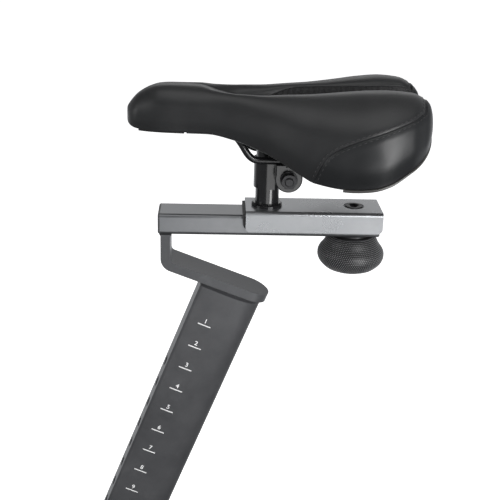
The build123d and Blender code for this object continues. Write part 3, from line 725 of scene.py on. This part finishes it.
def two_halves(name, x, low_t, high_t, rows, thickness, shape=dressed_point):
    """Piece between two edges of the section, on both halves, merged and given thickness."""
    r = np.linspace(0, 1, rows)[:, None]
    t = low_t[None] + r * (high_t - low_t)[None]
    right_half = shape(np.repeat(x[None], rows, 0), t).reshape(-1, 3)
    left_half = right_half * np.array([1, -1, 1])
    points = np.concatenate([right_half, left_half]) * MM + np.array(stem_foot)
    faces = half_faces(rows, len(x), 0, False) + half_faces(rows, len(x), len(right_half), True)
    mesh = bpy.data.meshes.new(name)
    mesh.from_pydata(points.tolist(), [], faces)
    work = bmesh.new()
    work.from_mesh(mesh)
    bmesh.ops.remove_doubles(work, verts=work.verts, dist=WELD)
    bmesh.ops.dissolve_degenerate(work, edges=work.edges, dist=SLIVER)
    work.to_mesh(mesh)
    work.free()
    mesh.polygons.foreach_set("use_smooth", [True] * len(mesh.polygons))
    piece = bpy.data.objects.new(name, mesh)
    bpy.context.scene.collection.objects.link(piece)
    wall = piece.modifiers.new("wall", "SOLIDIFY")
    wall.thickness, wall.offset = thickness * MM, -1
    return piece


def settle(piece):
    """Replace a piece's mesh by what its modifiers make of it."""
    depsgraph = bpy.context.evaluated_depsgraph_get()
    result = bpy.data.meshes.new_from_object(piece.evaluated_get(depsgraph), depsgraph=depsgraph)
    piece.modifiers.clear()
    piece.data = result
    return piece


def dress(piece, material, body):
    """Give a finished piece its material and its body."""
    piece.data.materials.clear()
    piece.data.materials.append(material)
    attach(piece, body)
    return piece


print("sheet helpers ready")

# %% [markdown]
# ## Top cover
# The top is one cut of vinyl. Stations crowd together at the tips, where the surface turns
# fastest, and at the tail, where the seam crosses over.

# %% Stations and the top cover
nose_end = NOSE + NOSE_ROUND * (1 - np.cos(np.linspace(0, math.pi / 2, 16)))
tail_end = TAIL - TAIL_ROUND * (1 - np.cos(np.linspace(math.pi / 2, 0, 18)))
along_body = np.arange(NOSE + NOSE_ROUND + 1.5, SEAM_TURN, 1.7)
at_turn = np.arange(SEAM_TURN, SEAM_END, 0.3)
stations = np.unique(np.concatenate([nose_end, along_body, [SEAM_FRONT], at_turn, [SEAM_END], tail_end]))

cover_low, cover_high = panel_edge(stations), lining_edge(stations)
kept = cover_low <= cover_high
cover = two_halves("saddle_cover_skin", stations[kept], cover_low[kept], cover_high[kept], 84, VINYL)
skin_tree = BVHTree.FromObject(cover, bpy.context.evaluated_depsgraph_get())
settle(cover)
dress(cover, cover_leather, "saddle")
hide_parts("saddle_cover", "saddle_foam")
print("top cover", len(cover.data.polygons), "faces")

# %% [markdown]
# ## Rear panels
# On the real saddle two panels wrap the rear corners and meet at the tail. They are one grid from
# the lower edge up to the seam, so the stitched edge fits the top cover's edge exactly.

# %% Rear panels
behind = stations[stations >= SEAM_FRONT]
panels = two_halves("rear_panel_skins", behind, np.zeros(len(behind)), panel_edge(behind), 92, VINYL)
panel_tree = BVHTree.FromObject(panels, bpy.context.evaluated_depsgraph_get())
settle(panels)
dress(panels, panel_leather, "saddle")
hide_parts("cover_panel_left", "cover_panel_right")
print("rear panels", len(panels.data.polygons), "faces")

# %% [markdown]
# ## Channel lining
# The relief channel is lined with thin mesh cloth, sewn in a little too long on purpose so that
# it can stretch when the foam is squeezed. The spare length stands in small uneven folds across
# the channel. The folds are a wave whose spacing drifts, strongest halfway down the wall.

# %% Channel lining
FOLD_HEIGHT, FOLD_PITCH, BEHIND_VINYL = 0.75, 5.4, 0.9


def ruched_point(x, t):
    """Channel surface with folds across it that fade out at its sewn edges."""
    points = saddle_point(x, t)
    middle = np.clip((t - LIP_KNOT - 0.15) / 0.5, 0, 1) * np.clip((x + 10) / 30, 0, 1)
    drift = 1.4 * np.sin(x / 8.5) + 0.8 * np.sin(x / 3.7 + 1)
    fold = FOLD_HEIGHT * np.sin(2 * math.pi * x / FOLD_PITCH + drift + 0.6 * t)
    return points + surface_normal(x, t) * (fold * middle - BEHIND_VINYL)[..., None]


lined = np.arange(-13.5, SEAM_END + 0.3, 0.9)
lining_low = np.maximum(lining_edge(lined), panel_edge(lined))
lining = two_halves("channel_lining", lined, lining_low, np.full(len(lined), CENTRE_KNOT), 30, CLOTH,
                    ruched_point)
settle(lining)
dress(lining, mesh_cloth, "saddle")
print("lining", len(lining.data.polygons), "faces")

# %% [markdown]
# ## Edges under the saddle
# The cover is pulled round the lower edge and stapled underneath, and from the seam back a
# plastic lip of the base shows below the vinyl. Both are a small profile carried along the lower
# edge, so one helper lofts them: it reads the edge in plan and steps outwards and down from it.
# The lip's finish is a lighter, brownish copy of the base plastic: painted light, standing in
# for the light the floor bounces up onto it.

# %% Profile along the lower edge
def edge_frames(x):
    """Lower edge of the right half and its outward direction in plan."""
    edge = saddle_point(x, np.zeros(len(x)))
    run = np.gradient(edge[:, :2], axis=0)
    outward = np.stack([-run[:, 1], run[:, 0]], axis=1)
    return edge, outward / (np.linalg.norm(outward, axis=1, keepdims=True) + 1e-9)


def along_edge(name, x, profile, inset=None):
    """Closed profile of (outward, up) steps, lofted along both lower edges."""
    edge, outward = edge_frames(x)
    shift = np.zeros(len(x)) if inset is None else inset
    rings = []
    for out, rise in profile:
        ring = edge.copy()
        ring[:, :2] += outward * (out - shift)[:, None]
        ring[:, 1] = np.maximum(ring[:, 1], 0)
        ring[:, 2] += rise
        rings.append(ring)
    right_half = np.stack(rings).reshape(-1, 3)
    count, columns = len(profile), len(x)
    faces = []
    for side in (0, 1):
        first = side * len(right_half)
        for r in range(count):
            s = (r + 1) % count
            for c in range(columns - 1):
                quad = (first + r * columns + c, first + s * columns + c,
                        first + s * columns + c + 1, first + r * columns + c + 1)
                faces.append(quad if side else quad[::-1])
        cap = [first + r * columns for r in range(count)]
        faces.append(cap if side else cap[::-1])
    points = np.concatenate([right_half, right_half * np.array([1, -1, 1])]) * MM + np.array(stem_foot)
    mesh = bpy.data.meshes.new(name)
    mesh.from_pydata(points.tolist(), [], faces)
    work = bmesh.new()
    work.from_mesh(mesh)
    bmesh.ops.remove_doubles(work, verts=work.verts, dist=0.00001)
    bmesh.ops.recalc_face_normals(work, faces=work.faces)
    work.to_mesh(mesh)
    work.free()
    mesh.polygons.foreach_set("use_smooth", [True] * len(mesh.polygons))
    mesh.set_sharp_from_angle(angle=math.radians(50))
    piece = bpy.data.objects.new(name, mesh)
    bpy.context.scene.collection.objects.link(piece)
    return piece


RIM_FRONT = 60.0
rim_x = np.concatenate([np.arange(RIM_FRONT, TAIL - TAIL_ROUND, 1.5), tail_end])
RIM_PROFILE = ((-1.6, 0.8), (-1.4, -0.4), (0.5, -0.9), (0.7, -2.2), (-0.4, -3.2), (-2.6, -3.0),
               (-3.5, -1.4), (-3.4, 0.8))
rim = along_edge("base_rim", rim_x, RIM_PROFILE)
# The lip wears the painted bounce light finish, a lighter copy of the base plastic.
dress(rim, rim_painted_bounce_light, "saddle")

HEM_FRONT = -75.0
hem_x = np.concatenate([np.arange(HEM_FRONT, TAIL - TAIL_ROUND, 1.5), tail_end])
HEM_PROFILE = ((-0.4, 0.6), (-0.5, -0.7), (-1.6, -1.4), (-6.0, -1.7), (-12.0, -1.5), (-12.2, -0.4),
               (-6.0, -0.5), (-2.0, 0.2))
hem = along_edge("cover_hem", hem_x, HEM_PROFILE, 3.2 * np.clip((hem_x - 60) / 6, 0, 1))
dress(hem, cover_leather, "saddle")
print("rim", len(rim.data.polygons), "faces, hem", len(hem.data.polygons), "faces")

# %% [markdown]
# ## Repeating things with Geometry Nodes
# Stitches and staples are one small shape set out along a line at an even pitch. A Geometry Nodes
# tree does it once for both: it takes the line, sets points along it, turns a small shape to run
# with the line at each point, and gives back plain geometry with its material.

# %% Tree: shapes along a line
def start_geometry_tree(name, inputs):
    tree = bpy.data.node_groups.new(name, "GeometryNodeTree")
    tree.interface.new_socket(name="Geometry", in_out="INPUT", socket_type="NodeSocketGeometry")
    for label, kind in inputs:
        tree.interface.new_socket(name=label, in_out="INPUT", socket_type="NodeSocket" + kind)
    tree.interface.new_socket(name="Geometry", in_out="OUTPUT", socket_type="NodeSocketGeometry")
    return tree, tree.nodes.new("NodeGroupInput"), tree.nodes.new("NodeGroupOutput")


def end_geometry_tree(tree, given, result, instances):
    """Realize the instances, shade them smooth, set the material and put them out."""
    real = put(tree, "GeometryNodeRealizeInstances", {"Geometry": instances})
    smooth = put(tree, "GeometryNodeSetShadeSmooth", {"Geometry": real.outputs["Geometry"]})
    coated = put(tree, "GeometryNodeSetMaterial", {
        "Geometry": smooth.outputs["Geometry"], "Material": given.outputs["Material"]})
    tree.links.new(coated.outputs["Geometry"], result.inputs["Geometry"])
    return tree


def along_line_tree():
    tree, given, result = start_geometry_tree("shapes_along_a_line", (
        ("Pitch", "Float"), ("Shape Size", "Vector"), ("Material", "Material")))
    line = put(tree, "GeometryNodeMeshToCurve", {"Mesh": given.outputs["Geometry"]})
    spots = put(tree, "GeometryNodeResampleCurve", {
        "Curve": line.outputs["Curve"], "Length": given.outputs["Pitch"]}, mode="LENGTH")
    ball = put(tree, "GeometryNodeMeshUVSphere", {"Segments": 8, "Rings": 5, "Radius": 0.5})
    shape = put(tree, "GeometryNodeTransform", {
        "Geometry": ball.outputs["Mesh"], "Scale": given.outputs["Shape Size"]})
    course = put(tree, "GeometryNodeInputTangent")
    turn = put(tree, "FunctionNodeAlignRotationToVector", {"Vector": course.outputs["Tangent"]}, axis="X")
    spread = put(tree, "GeometryNodeInstanceOnPoints", {
        "Points": spots.outputs["Curve"], "Instance": shape.outputs["Geometry"],
        "Rotation": turn.outputs["Rotation"]})
    return end_geometry_tree(tree, given, result, spread.outputs["Instances"])


def repeat(name, points, edges, tree, values):
    """Run a tree on loose points or lines and keep the result as a plain mesh."""
    mesh = bpy.data.meshes.new(name)
    mesh.from_pydata([tuple(p) for p in points], edges, [])
    piece = bpy.data.objects.new(name, mesh)
    bpy.context.scene.collection.objects.link(piece)
    for label, kind, numbers in values.pop("attributes", ()):
        layer = mesh.attributes.new(label, kind, "POINT")
        key = "vector" if kind == "FLOAT_VECTOR" else "value"
        layer.data.foreach_set(key, np.asarray(numbers, np.float32).ravel())
    modifier = piece.modifiers.new("repeat", "NODES")
    modifier.node_group = tree
    for item in tree.interface.items_tree:
        if item.in_out == "INPUT" and item.name in values:
            modifier[item.identifier] = values[item.name]
    return settle(piece)


shapes_along_a_line = along_line_tree()
print("tree", shapes_along_a_line.name)

# %% [markdown]
# ## Stitches
# A row of top stitching runs on each side of the panel seam, about two and a half millimetres
# from it. The rows are stepped sideways from the seam and dropped onto the finished vinyl, so the
# thread lies on it everywhere.

# %% Stitches beside the seam
STITCH_OFFSET, EVERY = 2.5, 4


def stitch_row(offset, tree):
    """Points of one row on the right half, on the vinyl that tree holds."""
    used = seam_t < LIP_KNOT
    points, normals = seam_points[used], surface_normal(seam_x[used], seam_t[used])
    course = np.gradient(points, axis=0)
    course /= np.linalg.norm(course, axis=1, keepdims=True) + 1e-9
    beside = points + np.cross(course, normals) * offset
    row = []
    for point in beside[EVERY::EVERY]:
        spot, normal, _, _ = tree.find_nearest(from_stem(*point))
        row.append(spot + normal * 0.1 * MM)
    return row


rows, links = [], []
for offset, tree in ((STITCH_OFFSET, skin_tree), (-STITCH_OFFSET, panel_tree)):
    row = stitch_row(offset, tree)
    for mirror_side in (1, -1):
        first = len(rows)
        rows += [Vector((p.x, p.y * mirror_side, p.z)) for p in row]
        links += [(first + i, first + i + 1) for i in range(len(row) - 1)]
stitches = repeat("seam_stitches", rows, links, shapes_along_a_line, {
    "Pitch": STITCH_PITCH * MM, "Shape Size": (3.2 * MM, 0.95 * MM, 0.6 * MM), "Material": thread})
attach(stitches, "saddle")
print("stitches", len(stitches.data.polygons), "faces on", len(rows), "points")

# %% [markdown]
# ## Staples
# Underneath, the turned hem is stapled to the base every fifteen millimetres or so.

# %% Staples under the hem
STAPLE_INSET, STAPLE_DROP, STAPLE_PITCH = 9.5, 1.75, 15
edge, outward = edge_frames(hem_x[hem_x < TAIL - TAIL_ROUND])
line_x = edge[:, 0] - outward[:, 0] * STAPLE_INSET
line_y = np.maximum(edge[:, 1] - outward[:, 1] * STAPLE_INSET, 2)
line_z = edge[:, 2] - STAPLE_DROP
staple_points, staple_links = [], []
for side in (1, -1):
    first = len(staple_points)
    staple_points += [from_stem(x, side * y, z) for x, y, z in zip(line_x, line_y, line_z)]
    staple_links += [(first + i, first + i + 1) for i in range(len(line_x) - 1)]
staples = repeat("hem_staples", staple_points, staple_links, shapes_along_a_line, {
    "Pitch": STAPLE_PITCH * MM, "Shape Size": (9 * MM, 1.1 * MM, 0.9 * MM), "Material": staple_wire})
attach(staples, "saddle")
print("staples", len(staples.data.polygons), "faces")

# %% [markdown]
# ## Dots on the knob
# The knob's skin is moulded with rows of fine raised dots, each row shifted half a step from the
# next, so that a sweaty hand still turns it. A second tree stands a low dome on each given point,
# square to the surface. The points are read off the CAD knob by casting rays at its profile.
# The domes are the knob's own black plastic; their light grey finish is a painted highlight,
# standing in for the glint that each dot catches.

# %% Tree: domes on points
def domes_tree():
    tree, given, result = start_geometry_tree("domes_on_points", (
        ("Dome Size", "Vector"), ("Material", "Material")))
    ball = put(tree, "GeometryNodeMeshIcoSphere", {"Radius": 0.5, "Subdivisions": 1})
    dome = put(tree, "GeometryNodeTransform", {
        "Geometry": ball.outputs["Mesh"], "Scale": given.outputs["Dome Size"]})
    facing = put(tree, "GeometryNodeInputNamedAttribute", {"Name": "facing"}, data_type="FLOAT_VECTOR")
    size = put(tree, "GeometryNodeInputNamedAttribute", {"Name": "size"}, data_type="FLOAT")
    turn = put(tree, "FunctionNodeAlignRotationToVector", {"Vector": facing.outputs["Attribute"]}, axis="Z")
    spread = put(tree, "GeometryNodeInstanceOnPoints", {
        "Points": given.outputs["Geometry"], "Instance": dome.outputs["Geometry"],
        "Rotation": turn.outputs["Rotation"], "Scale": size.outputs["Attribute"]})
    return end_geometry_tree(tree, given, result, spread.outputs["Instances"])


domes_on_points = domes_tree()
print("tree", domes_on_points.name)

# %% Dots from the knob's profile
DOTS_ROUND = 96
DOT_ROW_STEP = 1.75
KNOB_RADIUS = 31.5
CORE_OUT, CORE_DOWN = 11, 18.5
FIRST_ANGLE, LAST_ANGLE = 62, -76
knob = frame["nodes"]["clamp_knob"]
knob_low, knob_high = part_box("clamp_knob")
knob_axis = (knob_low + knob_high) / 2
knob_tree = BVHTree.FromObject(knob, bpy.context.evaluated_depsgraph_get())
core = Vector((knob_axis.x, knob_axis.y - CORE_OUT * MM, knob_high.z - CORE_DOWN * MM))
profile = []
for angle in np.radians(np.arange(FIRST_ANGLE, LAST_ANGLE, -0.5)):
    direction = Vector((0, -math.cos(angle), math.sin(angle)))
    hit, normal, _, _ = knob_tree.ray_cast(core + direction * 2 * KNOB_RADIUS * MM, -direction)
    if hit:
        profile.append((knob_axis.y - hit.y, hit.z, -normal.y, normal.z))
profile = np.array(profile)
run = np.concatenate([[0], np.cumsum(np.hypot(*np.diff(profile[:, :2], axis=0).T))])
levels = np.arange(0.6 * MM, run[-1], DOT_ROW_STEP * MM)
rings = np.stack([np.interp(levels, run, profile[:, i]) for i in range(4)], axis=1)
dots, facings, sizes = [], [], []
for row, (radius, height, out, rise) in enumerate(rings):
    for step in range(DOTS_ROUND):
        angle = 2 * math.pi * (step + 0.5 * (row % 2)) / DOTS_ROUND
        dots.append((knob_axis.x + radius * math.cos(angle), radius * math.sin(angle), height))
        facings.append((out * math.cos(angle), out * math.sin(angle), rise))
        sizes.append(radius / (KNOB_RADIUS * MM))
# The domes get the painted highlight finish, a light grey on the knob's black plastic.
knob_dots = repeat("knob_dots", dots, [], domes_on_points, {
    "Dome Size": (1.1 * MM, 1.1 * MM, 1.0 * MM), "Material": dot_painted_highlight,
    "attributes": (("facing", "FLOAT_VECTOR", facings), ("size", "FLOAT", sizes))})
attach(knob_dots, "knob")
print(len(dots), "dots,", len(knob_dots.data.polygons), "faces")

# %% [markdown]
# ## Printed height scale
# White ink, a line every inch and a plain number over each, on the left flank of the post. The
# print is a skin of ink: flat shapes laid on the post's bulged side by casting a ray for each
# corner, and held a few hundredths of a millimetre off it.

# %% Lines and numbers on the post
foot_mount = next(m for m in frame["record"]["mounts"] if m["name"] == "post_foot")
lean = math.atan2(-foot_mount["axis"][0], -foot_mount["axis"][2])
POST_LENGTH = 352.0
FIRST_MARK, MARK_PITCH, MARKS = POST_LENGTH - 41.1, 25.4, 12
MARK_FRONT, MARK_BACK, MARK_WIDTH, MARK_STEPS = -17.5, -4.4, 1.1, 8
DIGIT_SIZE, DIGIT_WEIGHT, DIGIT_LIFT = 6.4, 0.1, 2.5
RAY_START, INK_HEIGHT = 0.06, 0.06 * MM
post_tree = BVHTree.FromObject(frame["nodes"]["seat_post"], bpy.context.evaluated_depsgraph_get())


def on_post(across, along):
    """Point on the post's left flank, from millimetres across and along the post's own frame."""
    x = (across * math.cos(lean) + along * math.sin(lean)) * MM
    z = (-across * math.sin(lean) + along * math.cos(lean)) * MM
    hit, normal, _, _ = post_tree.ray_cast(Vector((x, -RAY_START, z)), Vector((0, 1, 0)))
    return hit + Vector((0, -INK_HEIGHT, 0))


ink = finish("scale_ink", fine_grain, (0.86, 0.86, 0.86), (0.92, 0.92, 0.92), 0.5, 2400, 0.2,
             marks=(140.0, 0.2, (0.5, 0.5, 0.5)))
print_points, print_faces = [], []
for mark in range(MARKS):
    height = FIRST_MARK - mark * MARK_PITCH
    first = len(print_points)
    for i in range(MARK_STEPS + 1):
        across = MARK_FRONT + (MARK_BACK - MARK_FRONT) * i / MARK_STEPS
        print_points += [on_post(across, height - MARK_WIDTH / 2), on_post(across, height + MARK_WIDTH / 2)]
    print_faces += [(first + 2 * i, first + 2 * i + 2, first + 2 * i + 3, first + 2 * i + 1)
                    for i in range(MARK_STEPS)]
    words = bpy.data.curves.new(f"number_{mark + 1}", "FONT")
    words.body = str(mark + 1)
    words.size = DIGIT_SIZE
    words.offset = DIGIT_WEIGHT
    words.align_x = "CENTER"
    holder = bpy.data.objects.new(words.name, words)
    bpy.context.scene.collection.objects.link(holder)
    flat = bpy.data.meshes.new_from_object(holder)
    middle = MARK_FRONT + 0.5 * (MARK_BACK - MARK_FRONT)
    first = len(print_points)
    print_points += [on_post(middle + v.co.x, height + DIGIT_LIFT + v.co.y) for v in flat.vertices]
    print_faces += [tuple(first + i for i in polygon.vertices) for polygon in flat.polygons]
    bpy.data.objects.remove(holder)
    bpy.data.meshes.remove(flat)
print_mesh = bpy.data.meshes.new("printed_scale")
print_mesh.from_pydata([tuple(p) for p in print_points], [], print_faces)
printed_scale = bpy.data.objects.new("printed_scale", print_mesh)
bpy.context.scene.collection.objects.link(printed_scale)
dress(printed_scale, ink, "post")
print(MARKS, "marks and numbers,", len(print_faces), "faces")
